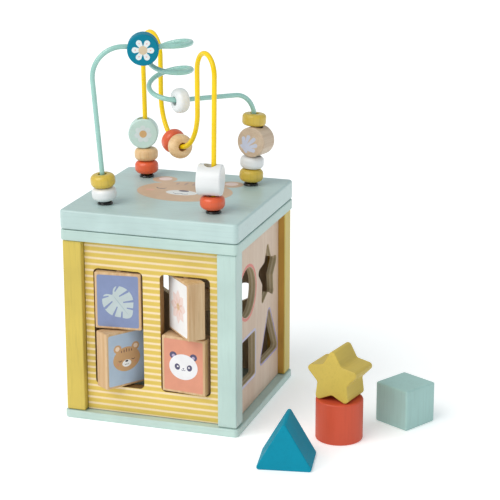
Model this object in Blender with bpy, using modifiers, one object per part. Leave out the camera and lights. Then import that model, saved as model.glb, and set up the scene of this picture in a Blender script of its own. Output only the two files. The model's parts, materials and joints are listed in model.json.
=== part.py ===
"""Wooden shape sorter cube with a bead maze lid, four spinning picture tiles and four blocks.

Frame: the origin is the centre of the base's underside, +Z is up, -Y is the front with the
spinning tiles, and +X is the side with the four shaped holes. Lengths are in metres.
"""
import math

import bmesh
import bpy
from mathutils import Matrix, Vector

MM = 0.001
GAP = 0.3 * MM                     # clearance kept between neighbouring pieces

# Box
SIDE = 150 * MM                    # square plan of base, rim and lid
CORNER_R = 4 * MM                  # plan corner radius of base, rim and lid
BASE_T = 6.6 * MM
RIM_Z = (151.9 * MM, 160.6 * MM)   # underside and top of the rim
RIM_OPENING = 118 * MM
LID_Z = (160.9 * MM, 177.0 * MM)
INSERT_SIDE = 115 * MM             # board under the lid that drops into the rim
INSERT_T = 6 * MM
POST = 16 * MM
POST_FACE = 73.4 * MM              # outer faces of the posts, from the centre
PANEL_FACE = 67.5 * MM             # outer faces of the panels, from the centre
PANEL_T = 6 * MM
FRONT_PANEL_T = 9 * MM             # thicker, because it holds the tile axles

# Front windows and spinning tiles
WINDOW_X = 28.5 * MM
WINDOW = (42 * MM, 99 * MM)
WINDOW_Z = 79 * MM
AXLE_D = 6 * MM
AXLE_SEAT = 10 * MM                # depth of the axle's seat above and below the window
TILE = (38.5 * MM, 15 * MM, 47.5 * MM)
TILE_GAP = 1.3 * MM
TILE_ANGLES = {"tile_leaf": 6, "tile_bear": 55, "tile_flower": -46, "tile_panda": -6}

# Shaped holes in the right panel: centre along Y and height
CIRCLE_AT = (-26.5 * MM, 106.7 * MM)
STAR_AT = (27.3 * MM, 106.5 * MM)
SQUARE_AT = (-25.5 * MM, 49.3 * MM)
TRIANGLE_AT = (31.0 * MM, 47.5 * MM)
HOLE_PLAY = 1.7 * MM               # room round each block in its own hole

# Blocks
CUBE = 34 * MM
CYLINDER_D = 38 * MM
CYLINDER_H = 34 * MM
TRIANGLE_SIDE = 45.5 * MM
TRIANGLE_DEPTH = 36 * MM
STAR_R = 25.8 * MM                 # to the sharp tips, before they are rounded
STAR_INNER = 0.53
STAR_DEPTH = 29 * MM
TIP_R = 3.1 * MM

# Curved slot with its slider in the back panel
SLOT_CENTRE_Z = 133 * MM
SLOT_R = 66 * MM
SLOT_HALF_ANGLE = 34
SLOT_W = 14 * MM

# Bead maze
CAP_H = 2.4 * MM
CAP_D = 12.5 * MM
FOOT = 46.5 * MM                   # each wire's foot, from the centre along X and Y
NEAR_FOOT = 45.4 * MM              # the front right one, which stands a little nearer
YELLOW_D = 4.0 * MM
GREEN_D = 4.0 * MM
WIRE_SEAT = 12 * MM                # depth of each wire end inside the lid
BEAD_D = 20 * MM
BEAD_H = 10.8 * MM
BEAD_HOLE = 7 * MM
FOOT_GAP = 0.8 * MM                # below each lowest bead, which leans over its level cap
DISC_D = 25.2 * MM
DISC_T = 15 * MM
THICK_DISC_T = 19.5 * MM
DISC_HOLE = 10.4 * MM

# Yellow wire, in its diagonal plane: distance from the centre line and height above the lid
LEFT_HUMP = (-52.2 * MM, 108 * MM, 18 * MM)
RIGHT_HUMP = (51.8 * MM, 109.5 * MM, 15.6 * MM)
VALLEY = (1.0 * MM, 76 * MM, 35.2 * MM)
LEFT_LEAN = 2.37
RIGHT_LEAN = 1.68

# Green wire
GREEN_LEFT_LEAN = 4.65
GREEN_RIGHT_LEAN = 3.3
ARCH_Z = 128.3 * MM
ARCH_BEND_R = 24 * MM
COIL_AT = (-4.4 * MM, -6.0 * MM)
COIL_R = 17.2 * MM
COIL_TOP = 126.3 * MM
COIL_PITCH = 22 * MM
COIL_TILT = 3.3 * MM
SHOULDER_Z = 77.3 * MM
SHOULDER_BEND_R = 22 * MM

COLOURS = {
    "mint": (0.58, 0.73, 0.68),
    "mustard": (0.73, 0.55, 0.13),
    "birch": (0.76, 0.60, 0.44),
    "white": (0.85, 0.85, 0.84),
    "coral": (0.83, 0.22, 0.10),
    "ochre": (0.68, 0.46, 0.06),
    "blue": (0.0, 0.25, 0.45),
    "teal": (0.0, 0.30, 0.46),
    "yellow": (0.95, 0.66, 0.0),
    "green": (0.33, 0.62, 0.55),
    "black": (0.01, 0.01, 0.01),
    "steel": (0.6, 0.6, 0.6),
}

PARTS = None
CUTTERS = None


# ---------------------------------------------------------------- scene and materials

def clear_scene():
    for old in list(bpy.data.objects):
        bpy.data.objects.remove(old, do_unlink=True)


def new_collection(name):
    collection = bpy.data.collections.new(name)
    bpy.context.scene.collection.children.link(collection)
    return collection


def material(colour):
    """Principled material in one of the named colours, made once."""
    found = bpy.data.materials.get(colour)
    if found:
        return found
    made = bpy.data.materials.new(colour)
    made.use_nodes = True
    shader = made.node_tree.nodes["Principled BSDF"]
    shader.inputs["Base Color"].default_value = (*COLOURS[colour], 1)
    shader.inputs["Roughness"].default_value = 0.3 if colour in ("yellow", "green") else 0.5
    shader.inputs["Metallic"].default_value = 1 if colour == "steel" else 0
    return made


def part(name, mesh, colour, place=Matrix.Identity(4), parent=None):
    """Object of the toy, placed in world space by a matrix."""
    mesh.name = name
    obj = bpy.data.objects.new(name, mesh)
    PARTS.objects.link(obj)
    obj.data.materials.append(material(colour))
    if parent:
        obj.parent = parent
        obj.matrix_parent_inverse = parent.matrix_basis.inverted()
    obj.matrix_basis = place
    return obj


def pivot(name, at, axis=(0, 0, 1)):
    """Empty on the axis that a piece turns about."""
    empty = bpy.data.objects.new(name, None)
    PARTS.objects.link(empty)
    empty.empty_display_size = 5 * MM
    turn = Vector((0, 0, 1)).rotation_difference(Vector(axis))
    empty.matrix_basis = Matrix.Translation(at) @ turn.to_matrix().to_4x4()
    return empty


def cut(target, mesh, place):
    """Boolean difference with a mesh that is kept as a hidden cutter."""
    cutter = bpy.data.objects.new(target.name + "_cutter", mesh)
    CUTTERS.objects.link(cutter)
    cutter.matrix_basis = place
    cutter.hide_render = True
    cutter.display_type = "WIRE"
    boolean = target.modifiers.new("cut", "BOOLEAN")
    boolean.operation = "DIFFERENCE"
    boolean.object = cutter


def round_edges(obj, width, segments=2, limit=35):
    bevel = obj.modifiers.new("round", "BEVEL")
    bevel.width = width
    bevel.segments = segments
    bevel.limit_method = "ANGLE"
    bevel.angle_limit = math.radians(limit)


def smooth(mesh, angle=35):
    mesh.shade_smooth()
    mesh.set_sharp_from_angle(angle=math.radians(angle))


def local_frame(x_axis, y_axis, at):
    """World matrix of a frame from its X and Y axes and its origin."""
    x_axis = Vector(x_axis).normalized()
    z_axis = x_axis.cross(Vector(y_axis)).normalized()
    y_axis = z_axis.cross(x_axis)
    turn = Matrix((x_axis, y_axis, z_axis)).transposed()
    return Matrix.Translation(at) @ turn.to_4x4()


# ---------------------------------------------------------------- outlines and basic meshes

def circle(radius, steps=24, centre=(0, 0)):
    turn = 2 * math.pi / steps
    return [(centre[0] + radius * math.cos(turn * i), centre[1] + radius * math.sin(turn * i))
            for i in range(steps)]


def rounded(corners, radius, steps=4):
    """Closed outline whose corners, convex or concave, are replaced by arcs."""
    outline = []
    for i, corner in enumerate(corners):
        here = Vector(corner)
        back = (Vector(corners[i - 1]) - here).normalized()
        ahead = (Vector(corners[(i + 1) % len(corners)]) - here).normalized()
        half = back.angle(ahead) / 2
        centre = here + (back + ahead).normalized() * (radius / math.sin(half))
        start = here + back * (radius / math.tan(half)) - centre
        sweep = (math.pi - 2 * half) * (1 if back.cross(ahead) < 0 else -1)
        for k in range(steps + 1):
            spoke = Matrix.Rotation(sweep * k / steps, 2) @ start
            outline.append(tuple(centre + spoke))
    return outline


def rectangle(width, height, centre=(0, 0)):
    x, y = width / 2, height / 2
    return [(centre[0] + sx * x, centre[1] + sy * y) for sx, sy in ((-1, -1), (1, -1), (1, 1), (-1, 1))]


def triangle(side):
    """Equilateral corners about their centroid, with one side level at the bottom."""
    radius = side / math.sqrt(3)
    return [(radius * math.cos(math.radians(a)), radius * math.sin(math.radians(a)))
            for a in (-150, -30, 90)]


def star(radius, inner):
    """Ten corners of an upright star."""
    corners = []
    for i in range(10):
        reach = radius if i % 2 == 0 else radius * inner
        angle = math.radians(90 + 36 * i)
        corners.append((reach * math.cos(angle), reach * math.sin(angle)))
    return corners


def moved(outline, shift):
    return [(x + shift[0], y + shift[1]) for x, y in outline]


def arc_slot(radius, half_angle, width, centre, steps=14, end_steps=6):
    """Outline of a slot that follows an arc below its centre, with round ends."""
    outline = []
    low, high = math.radians(-90 - half_angle), math.radians(-90 + half_angle)
    for i in range(steps + 1):
        angle = low + (high - low) * i / steps
        reach = radius + width / 2
        outline.append((reach * math.cos(angle), reach * math.sin(angle)))
    for end, first in ((high, high), (low, low + math.pi)):
        if end == low:
            for i in range(steps + 1):
                angle = high + (low - high) * i / steps
                reach = radius - width / 2
                outline.append((reach * math.cos(angle), reach * math.sin(angle)))
        for i in range(1, end_steps):
            angle = first + math.pi * i / end_steps
            outline.append((radius * math.cos(end) + width / 2 * math.cos(angle),
                            radius * math.sin(end) + width / 2 * math.sin(angle)))
    return moved(outline, centre)


def slab_mesh(outlines, thickness):
    """Flat plate of the first outline, with the others as holes, as a welded mesh."""
    curve = bpy.data.curves.new("slab", "CURVE")
    curve.dimensions = "2D"
    curve.fill_mode = "BOTH"
    curve.extrude = thickness / 2
    for outline in outlines:
        spline = curve.splines.new("POLY")
        spline.points.add(len(outline) - 1)
        for point, (x, y) in zip(spline.points, outline):
            point.co = (x, y, 0, 1)
        spline.use_cyclic_u = True
    holder = bpy.data.objects.new("slab", curve)
    bpy.context.scene.collection.objects.link(holder)
    bpy.context.view_layer.update()
    evaluated = holder.evaluated_get(bpy.context.evaluated_depsgraph_get())
    mesh = bpy.data.meshes.new_from_object(evaluated)
    bpy.data.objects.remove(holder, do_unlink=True)
    bm = bmesh.new()
    bm.from_mesh(mesh)
    bmesh.ops.remove_doubles(bm, verts=bm.verts, dist=0.01 * MM)
    bmesh.ops.recalc_face_normals(bm, faces=bm.faces)
    bm.to_mesh(mesh)
    bm.free()
    mesh.materials.clear()
    return mesh


def box_mesh(size):
    bm = bmesh.new()
    bmesh.ops.create_cube(bm, size=1, matrix=Matrix.Diagonal((*size, 1)))
    mesh = bpy.data.meshes.new("box")
    bm.to_mesh(mesh)
    bm.free()
    return mesh


def rod_mesh(radius, length, steps=16):
    bm = bmesh.new()
    bmesh.ops.create_cone(bm, cap_ends=True, segments=steps, radius1=radius, radius2=radius, depth=length)
    mesh = bpy.data.meshes.new("rod")
    bm.to_mesh(mesh)
    bm.free()
    smooth(mesh)
    return mesh


def profile_mesh(points, closed):
    """Mesh of one line of edges in the XZ plane."""
    mesh = bpy.data.meshes.new("profile")
    edges = [(i, i + 1) for i in range(len(points) - 1)]
    if closed:
        edges.append((len(points) - 1, 0))
    mesh.from_pydata([(x, 0, z) for x, z in points], edges, [])
    return mesh


def spin(obj, steps):
    """Screw modifier that turns a profile into a closed round body."""
    screw = obj.modifiers.new("turn", "SCREW")
    screw.steps = steps
    screw.render_steps = steps
    screw.use_merge_vertices = True
    screw.merge_threshold = 0.01 * MM
    screw.use_smooth_shade = True


# ---------------------------------------------------------------- box

def panel_frame(side):
    """Matrix that stands an XY outline up as a panel on one side of the box."""
    depth = FRONT_PANEL_T if side == "front" else PANEL_T
    inset = PANEL_FACE - depth / 2
    return {
        "front": local_frame((1, 0, 0), (0, 0, 1), (0, -inset, 0)),
        "right": local_frame((0, 1, 0), (0, 0, 1), (inset, 0, 0)),
        "back": local_frame((1, 0, 0), (0, 0, 1), (0, inset, 0)),
        "left": local_frame((0, 1, 0), (0, 0, 1), (-inset, 0, 0)),
    }[side]


def panel_outline():
    low, high = BASE_T + GAP, RIM_Z[0] - GAP
    width = 2 * (POST_FACE - POST - GAP)
    return rectangle(width, high - low, (0, (low + high) / 2))


def star_outline(clearance=0.0):
    """Star with rounded tips, grown all round by a clearance."""
    tip_angle = math.atan2(STAR_INNER * math.sin(math.radians(36)),
                           1 - STAR_INNER * math.cos(math.radians(36)))
    return rounded(star(STAR_R + clearance / math.sin(tip_angle), STAR_INNER), TIP_R, 3)


def triangle_outline(clearance=0.0):
    return rounded(triangle(TRIANGLE_SIDE + 2 * math.sqrt(3) * clearance), 1.2 * MM + clearance, 3)


def hole_outlines():
    """The four shaped holes of the right panel, each a block's outline with play."""
    square = CUBE + 2 * HOLE_PLAY
    return [
        circle(CYLINDER_D / 2 + HOLE_PLAY, 32, CIRCLE_AT),
        moved(star_outline(HOLE_PLAY), STAR_AT),
        rounded(rectangle(square, square, SQUARE_AT), 2 * MM, 3),
        moved(triangle_outline(HOLE_PLAY), TRIANGLE_AT),
    ]


def screw_profile(clearance=0.0):
    """Countersunk screw seen from its axis, run down its outer side."""
    top, head, shank = 22 * MM + clearance, 4 * MM + clearance, 1.8 * MM + clearance
    bottom = -1 * MM if clearance else 0.4 * MM
    return [(0, top), (shank, top - 2 * MM), (shank, 3.2 * MM + clearance), (head, 1.2 * MM + clearance),
            (head, bottom), (0, bottom)]


def build_base_and_rim():
    outline = rounded(rectangle(SIDE, SIDE), CORNER_R)
    base = part("base_plate", slab_mesh([outline], BASE_T), "mint", Matrix.Translation((0, 0, BASE_T / 2)))
    round_edges(base, 1 * MM)
    opening = rounded(rectangle(RIM_OPENING, RIM_OPENING), 2 * MM)
    height = RIM_Z[1] - RIM_Z[0]
    rim = part("top_rim", slab_mesh([outline, opening], height), "mint",
               Matrix.Translation((0, 0, RIM_Z[0] + height / 2)))
    round_edges(rim, 1 * MM)
    return base


def build_posts(base):
    """Four corner posts, each screwed to the base from below."""
    low, high = BASE_T + GAP, RIM_Z[0] - GAP
    at = POST_FACE - POST / 2
    for name, sx, sy, colour in (("front_left", -1, -1, "mustard"), ("front_right", 1, -1, "mint"),
                                 ("back_left", -1, 1, "mint"), ("back_right", 1, 1, "mustard")):
        post = part("post_" + name, box_mesh((POST, POST, high - low)), colour,
                    Matrix.Translation((sx * at, sy * at, (low + high) / 2)))
        round_edges(post, 1.2 * MM)
        place = Matrix.Translation((sx * at, sy * at, 0))
        for target in (base, post):
            cutter = profile_mesh(screw_profile(GAP), closed=False)
            cut(target, cutter, place)
            spin(CUTTERS.objects[-1], 12)
        screw = part("base_screw_" + name, profile_mesh(screw_profile(), closed=False), "steel", place)
        spin(screw, 12)


def build_front_panel():
    panel = part("front_panel", slab_mesh([panel_outline()], FRONT_PANEL_T), "mustard",
                 panel_frame("front"))
    length = WINDOW[1] + 2 * AXLE_SEAT
    for name, s in (("axle_left", -1), ("axle_right", 1)):
        window = rounded(rectangle(*WINDOW, (s * WINDOW_X, WINDOW_Z)), 4 * MM, 4)
        cut(panel, slab_mesh([window], FRONT_PANEL_T + 4 * MM), panel_frame("front"))
        place = Matrix.Translation((s * WINDOW_X, -(PANEL_FACE - FRONT_PANEL_T / 2), WINDOW_Z))
        cut(panel, rod_mesh(AXLE_D / 2 + GAP, length + 2 * GAP), place)
        part(name, rod_mesh(AXLE_D / 2, length), "birch", place)


def build_tiles():
    """Two tiles on each axle, turned to the angles in which they are left."""
    width, depth, height = TILE
    for name, s, level in (("tile_leaf", -1, 1), ("tile_bear", -1, -1),
                           ("tile_flower", 1, 1), ("tile_panda", 1, -1)):
        at = (s * WINDOW_X, -(PANEL_FACE - FRONT_PANEL_T / 2), WINDOW_Z + level * (height + TILE_GAP) / 2)
        place = Matrix.Translation(at) @ Matrix.Rotation(math.radians(TILE_ANGLES[name]), 4, "Z")
        tile = part(name, box_mesh((width, depth, height)), "birch", place)
        round_edges(tile, 1 * MM)
        cut(tile, rod_mesh(AXLE_D / 2 + 0.4 * MM, height + 2 * MM), place)


def build_other_panels():
    part("right_panel", slab_mesh([panel_outline(), *hole_outlines()], PANEL_T), "birch",
         panel_frame("right"))
    part("left_panel", slab_mesh([panel_outline()], PANEL_T), "mustard", panel_frame("left"))
    slot = arc_slot(SLOT_R, SLOT_HALF_ANGLE, SLOT_W, (0, SLOT_CENTRE_Z))
    part("back_panel", slab_mesh([panel_outline(), slot], PANEL_T), "birch", panel_frame("back"))


def build_slider():
    """Knob outside the back panel and washer inside it, which run along the curved slot."""
    stem = SLOT_W / 2 - 0.8 * MM
    inner_face = PANEL_FACE - PANEL_T
    hub = pivot("slider_pivot", (0, PANEL_FACE, SLOT_CENTRE_Z), (0, 1, 0))
    at = (0, inner_face, SLOT_CENTRE_Z - SLOT_R)
    place = local_frame((1, 0, 0), (0, 0, -1), at)
    face = PANEL_T + 0.5 * MM
    knob = part("slider_knob",
                profile_mesh([(0, face + 11 * MM), (7 * MM, face + 11 * MM), (10 * MM, face + 8.5 * MM),
                              (11 * MM, face + 5 * MM), (10.5 * MM, face), (stem, face),
                              (stem, -0.5 * MM), (0, -0.5 * MM)], closed=False), "coral", place, hub)
    spin(knob, 20)
    back = -0.5 * MM - GAP
    washer = part("slider_washer",
                  profile_mesh([(0, back), (9.5 * MM, back), (10 * MM, back - 1.5 * MM),
                                (9.5 * MM, back - 3 * MM), (0, back - 3 * MM)], closed=False),
                  "birch", place, hub)
    spin(washer, 20)


def build_lid():
    """Lid board with a hole for each wire foot, and the board that locates it in the rim."""
    outline = rounded(rectangle(SIDE, SIDE), CORNER_R)
    height = LID_Z[1] - LID_Z[0]
    middle = LID_Z[0] + height / 2
    lid = part("lid_board", slab_mesh([outline], height), "mint", Matrix.Translation((0, 0, middle)))
    round_edges(lid, 2 * MM)
    for sx in (-1, 1):
        for sy in (-1, 1):
            place = Matrix.Translation((*foot_at(sx, sy), middle))
            cut(lid, rod_mesh(YELLOW_D / 2 + 1 * MM, height + 4 * MM), place)
    insert = part("lid_insert", box_mesh((INSERT_SIDE, INSERT_SIDE, INSERT_T)), "birch",
                  Matrix.Translation((0, 0, LID_Z[0] - GAP - INSERT_T / 2)))
    round_edges(insert, 1.5 * MM)


# ---------------------------------------------------------------- bead maze

def foot_at(sx, sy):
    """Place of a wire foot on the lid."""
    reach = NEAR_FOOT if (sx, sy) == (1, -1) else FOOT
    return sx * reach, sy * reach


def foot_distance(wire, side):
    """Distance of a wire foot from the centre line, in its diagonal plane."""
    return side * (NEAR_FOOT if (wire, side) == ("yellow", 1) else FOOT) * math.sqrt(2)


def above_lid(plane, distance, height):
    """Point in one of the two diagonal planes through the centre line."""
    step = distance / math.sqrt(2)
    return Vector((step, -step if plane == "yellow" else step, LID_Z[1] + height))


def arc_points(centre, radius, start, end, steps):
    """Points of an arc in a wire's plane, as distance and height, angles in degrees."""
    angles = [math.radians(start + (end - start) * i / steps) for i in range(steps + 1)]
    return [(centre[0] + radius * math.cos(a), centre[1] + radius * math.sin(a)) for a in angles]


def leg_foot(top, lean, height):
    """Point at a height on the straight leg that ends at its top."""
    return (top[0] + math.tan(math.radians(lean)) * (top[1] - height), height)


def yellow_route():
    """Leg, hump, valley, hump and leg of the yellow wire."""
    left = arc_points(LEFT_HUMP[:2], LEFT_HUMP[2], 180 + LEFT_LEAN, 0, 12)
    valley = arc_points(VALLEY[:2], VALLEY[2], 180, 360, 18)
    right = arc_points(RIGHT_HUMP[:2], RIGHT_HUMP[2], 180, -RIGHT_LEAN, 12)
    first = leg_foot(left[0], LEFT_LEAN, -WIRE_SEAT)
    last = leg_foot(right[-1], -RIGHT_LEAN, -WIRE_SEAT)
    return [above_lid("yellow", *p) for p in (first, *left, *valley, *right, last)]


def bend(before, corner, after, radius, steps=8):
    """Points of the arc that rounds a corner between two straight runs in space."""
    back = (before - corner).normalized()
    ahead = (after - corner).normalized()
    half = back.angle(ahead) / 2
    centre = corner + (back + ahead).normalized() * (radius / math.sin(half))
    start = corner + back * (radius / math.tan(half)) - centre
    axis = back.cross(ahead)
    turn = -(math.pi - 2 * half)
    return [centre + Matrix.Rotation(turn * k / steps, 3, axis) @ start for k in range(steps + 1)]


def coil_point(angle):
    """Point of the coil, which is level at first and then falls by a pitch each turn."""
    turned = math.radians(angle)
    height = COIL_TOP - COIL_PITCH * angle / 360 + COIL_TILT * math.sin(turned)
    return Vector((COIL_AT[0] + COIL_R * math.cos(turned), COIL_AT[1] + COIL_R * math.sin(turned),
                   LID_Z[1] + min(height, COIL_TOP)))


def tangent_angle(corner, side):
    """Angle at which a straight run from a corner touches the coil in plan."""
    towards = Vector(COIL_AT) - corner.xy if side == "in" else corner.xy - Vector(COIL_AT)
    heading = math.degrees(math.atan2(towards.y, towards.x))
    swing = math.degrees(math.asin(COIL_R / towards.length))
    return heading - 90 - swing if side == "in" else heading - 90 + swing


def green_corners():
    """Corners of the arch and the shoulder, on the lines of the two leaning legs."""
    foot = FOOT * math.sqrt(2)
    left = above_lid("green", -foot - math.tan(math.radians(GREEN_LEFT_LEAN)) * ARCH_Z, ARCH_Z)
    right = above_lid("green", foot + math.tan(math.radians(GREEN_RIGHT_LEAN)) * SHOULDER_Z, SHOULDER_Z)
    return left, right


def green_route():
    """Leg, arch, coil of two turns, shoulder and leg of the green wire."""
    foot = FOOT * math.sqrt(2)
    left, right = green_corners()
    seat_left = math.tan(math.radians(GREEN_LEFT_LEAN)) * WIRE_SEAT
    seat_right = math.tan(math.radians(GREEN_RIGHT_LEAN)) * WIRE_SEAT
    first = above_lid("green", -foot + seat_left, -WIRE_SEAT)
    last = above_lid("green", foot - seat_right, -WIRE_SEAT)
    start = tangent_angle(left, "in")
    end = tangent_angle(right, "out") + 720
    steps = 48
    coil = [coil_point(start + (end - start) * i / steps) for i in range(steps + 1)]
    arch = bend(first, left, coil[0], ARCH_BEND_R)
    shoulder = bend(coil[-1], right, last, SHOULDER_BEND_R)
    return [first, *arch, *coil, *shoulder, last]


def build_wire(name, route, diameter, colour):
    curve = bpy.data.curves.new(name, "CURVE")
    curve.dimensions = "3D"
    curve.bevel_depth = diameter / 2
    curve.bevel_resolution = 2
    curve.use_fill_caps = True
    spline = curve.splines.new("POLY")
    spline.points.add(len(route) - 1)
    for point, at in zip(spline.points, route):
        point.co = (*at, 1)
    wire = bpy.data.objects.new(name, curve)
    PARTS.objects.link(wire)
    curve.materials.append(material(colour))


def build_caps():
    """Flared plastic cap round each wire foot."""
    hole = YELLOW_D / 2 + 0.8 * MM
    for name, sx, sy in (("front_left", -1, -1), ("front_right", 1, -1),
                         ("back_left", -1, 1), ("back_right", 1, 1)):
        outline = [(hole, CAP_H), (4.6 * MM, CAP_H), (CAP_D / 2 - 0.4 * MM, CAP_H * 0.4),
                   (CAP_D / 2, GAP), (hole, GAP)]
        cap = part("cap_" + name, profile_mesh(outline, closed=True), "black",
                   Matrix.Translation((*foot_at(sx, sy), LID_Z[1])))
        spin(cap, 16)


def bead_profile(diameter=BEAD_D, height=BEAD_H, rounding=4.2 * MM, steps=2):
    """Closed profile of a round bead: down its outer side, then up inside its hole."""
    outer, top = diameter / 2, height / 2
    upper = [(outer - rounding + rounding * math.sin(a), top - rounding + rounding * math.cos(a))
             for a in (math.pi / 2 * i / steps for i in range(steps + 1))]
    lower = [(x, -z) for x, z in reversed(upper)]
    return [(BEAD_HOLE / 2, top), *upper, *lower, (BEAD_HOLE / 2, -top)]


def build_bead(name, colour, at, along, parent=None, height=BEAD_H, rounding=4.2 * MM):
    """Round bead whose hole runs along a wire's direction."""
    turn = Vector((0, 0, 1)).rotation_difference(Vector(along)).to_matrix().to_4x4()
    bead = part("bead_" + name, profile_mesh(bead_profile(BEAD_D, height, rounding), closed=True), colour,
                Matrix.Translation(at) @ turn, parent)
    spin(bead, 16)


def build_disc(name, colour, at, along, facing, thickness=DISC_T, skew=0.0, shift=(0.0, 0.0, 0.0)):
    """Disc bead threaded through its diameter; facing is its flat face's heading from the front.

    Its hole is wider than the wire, so it hangs off centre: shift is along its width, its hole and its face.
    """
    along = Vector(along).normalized()
    heading = math.radians(facing)
    face = Vector((math.sin(heading), -math.cos(heading), 0))
    across = along.cross(face).normalized()
    face = across.cross(along)
    turn = Matrix((across, along, face)).transposed().to_4x4()
    place = Matrix.Translation(at) @ turn @ Matrix.Translation(Vector(shift) * MM)
    body = Matrix.Rotation(math.radians(skew), 4, turn.inverted() @ Vector((0, 0, 1)))
    disc = part("bead_" + name, rod_mesh(DISC_D / 2, thickness, 28), colour, place @ body)
    round_edges(disc, 1.2 * MM, 2)
    bore = rod_mesh(DISC_HOLE / 2, DISC_D + 4 * MM, 20)
    cut(disc, bore, place @ body @ Matrix.Rotation(math.radians(90), 4, "X"))


def leg(wire, side):
    """Foot and upward direction of a leaning leg."""
    lean = {("yellow", -1): LEFT_LEAN, ("yellow", 1): RIGHT_LEAN,
            ("green", -1): GREEN_LEFT_LEAN, ("green", 1): GREEN_RIGHT_LEAN}[(wire, side)]
    distance = foot_distance(wire, side)
    foot = above_lid(wire, distance, 0)
    top = above_lid(wire, distance + side * math.tan(math.radians(lean)) * 0.1, 0.1)
    return foot, (top - foot).normalized()


def build_leg_beads():
    """Stacks of beads that rest on the caps at the four legs."""
    first = CAP_H + FOOT_GAP + BEAD_H / 2
    second = first + BEAD_H + GAP
    on_two = second + BEAD_H / 2 + GAP + DISC_D / 2
    on_one = first + BEAD_H / 2 + GAP + DISC_D / 2
    crown_h = 10 * MM
    crown = on_two + DISC_D / 2 + GAP + crown_h / 2

    foot, up = leg("green", -1)
    build_bead("front_left_white", "white", foot + up * first, up)
    build_bead("front_left_ochre", "ochre", foot + up * second, up)

    foot, up = leg("yellow", -1)
    build_bead("back_left_coral", "coral", foot + up * first, up)
    build_bead("back_left_birch", "birch", foot + up * second, up)
    build_disc("back_left_disc", "mint", foot + up * on_two, up, 18, shift=(-1.7, 0, 0))

    foot, up = leg("yellow", 1)
    build_bead("front_right_coral", "coral", foot + up * first - Vector((0.9 * MM, 0, 0)), up)
    build_disc("front_right_drum", "white", foot + up * on_one, up, 98, THICK_DISC_T, shift=(0, 0, -2.7))

    foot, up = leg("green", 1)
    build_bead("back_right_ochre", "ochre", foot + up * first, up)
    build_bead("back_right_white", "white", foot + up * second, up)
    build_disc("back_right_disc", "birch", foot + up * on_two, up, -10, THICK_DISC_T, shift=(2.7, 0, 0))
    build_bead("back_right_crown", "ochre", foot + up * crown, up, None, crown_h, 3 * MM)


def build_valley_beads():
    """Two beads at the bottom of the yellow valley, turning about the valley's centre."""
    centre = above_lid("yellow", *VALLEY[:2])
    hub = pivot("valley_pivot", centre, (1, 1, 0))
    for name, colour, angle in (("valley_coral", "coral", -18.5), ("valley_birch", "birch", 2.5)):
        turned = math.radians(angle)
        at = above_lid("yellow", VALLEY[0] + VALLEY[2] * math.sin(turned),
                       VALLEY[1] - VALLEY[2] * math.cos(turned))
        ahead = above_lid("yellow", math.cos(turned), math.sin(turned)) - above_lid("yellow", 0, 0)
        build_bead(name, colour, at, ahead, hub)


def build_coil_beads():
    """Disc on the green arch and the white bead where the coil ends."""
    left, _ = green_corners()
    entry = coil_point(tangent_angle(left, "in"))
    run = entry - left
    heading = math.degrees(math.atan2(run.y, run.x))
    build_disc("arch_disc", "blue", left + run * 0.64 - Vector((0, 0, 1.7 * MM)), run, heading, DISC_T, -9.5)
    hub = pivot("coil_pivot", (*COIL_AT, LID_Z[1]))
    angle = 678
    ahead = coil_point(angle + 5) - coil_point(angle - 5)
    ahead.z = 0
    inward = (Vector((*COIL_AT, 0)) - coil_point(angle))
    inward.z = 0
    at = coil_point(angle) + inward.normalized() * 0.6 * MM - Vector((0, 0, 0.6 * MM))
    build_bead("coil_white", "white", at, ahead, hub)


# ---------------------------------------------------------------- blocks

def build_blocks():
    """Cube, triangular prism and cylinder beside the box, with the star standing on the cylinder."""
    cube = part("block_cube", box_mesh((CUBE, CUBE, CUBE)), "mint",
                Matrix.Translation((193 * MM, 3 * MM, CUBE / 2)) @ Matrix.Rotation(math.radians(61), 4, "Z"))
    round_edges(cube, 1.2 * MM)

    cylinder_at = Vector((151 * MM, -47 * MM, CYLINDER_H / 2))
    cylinder = part("block_cylinder", rod_mesh(CYLINDER_D / 2, CYLINDER_H, 32), "coral",
                    Matrix.Translation(cylinder_at))
    round_edges(cylinder, 1.2 * MM)

    heading = math.radians(99.9)
    depth_axis = Vector((math.cos(heading), math.sin(heading), 0))
    across = Vector((math.sin(heading), -math.cos(heading), 0))
    base_middle = Vector((128.8 * MM, -125.7 * MM, 0)) + depth_axis * TRIANGLE_DEPTH / 2
    lift = TRIANGLE_SIDE / (2 * math.sqrt(3))
    prism = part("block_triangle", slab_mesh([triangle_outline()], TRIANGLE_DEPTH), "teal",
                 local_frame(across, (0, 0, 1), base_middle + Vector((0, 0, lift))))
    round_edges(prism, 0.8 * MM, 1, 50)

    outline = star_outline()
    lowest = min(y for _, y in outline)
    heading = math.radians(78)
    depth_axis = Vector((math.cos(heading), math.sin(heading), 0))
    across = Vector((math.sin(heading), -math.cos(heading), 0))
    at = Vector((150.5 * MM, -44.5 * MM, CYLINDER_H + GAP - lowest))
    block = part("block_star", slab_mesh([outline], STAR_DEPTH), "ochre",
                 local_frame(across, (0, 0, 1), at))
    round_edges(block, 0.8 * MM, 1, 50)


def main():
    global PARTS, CUTTERS
    clear_scene()
    PARTS = new_collection("shape_sorter")
    CUTTERS = new_collection("cutters")
    base = build_base_and_rim()
    build_posts(base)
    build_front_panel()
    build_tiles()
    build_other_panels()
    build_slider()
    build_lid()
    build_wire("wire_yellow", yellow_route(), YELLOW_D, "yellow")
    build_wire("wire_green", green_route(), GREEN_D, "green")
    build_caps()
    build_leg_beads()
    build_valley_beads()
    build_coil_beads()
    build_blocks()


main()
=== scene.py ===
"""Looks for the wooden shape sorter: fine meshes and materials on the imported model."""

import json
from math import asin, atan2, cos, degrees, exp, pi, radians, sin, sqrt, tan

import bmesh
import bpy
from mathutils import Matrix, Vector


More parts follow.
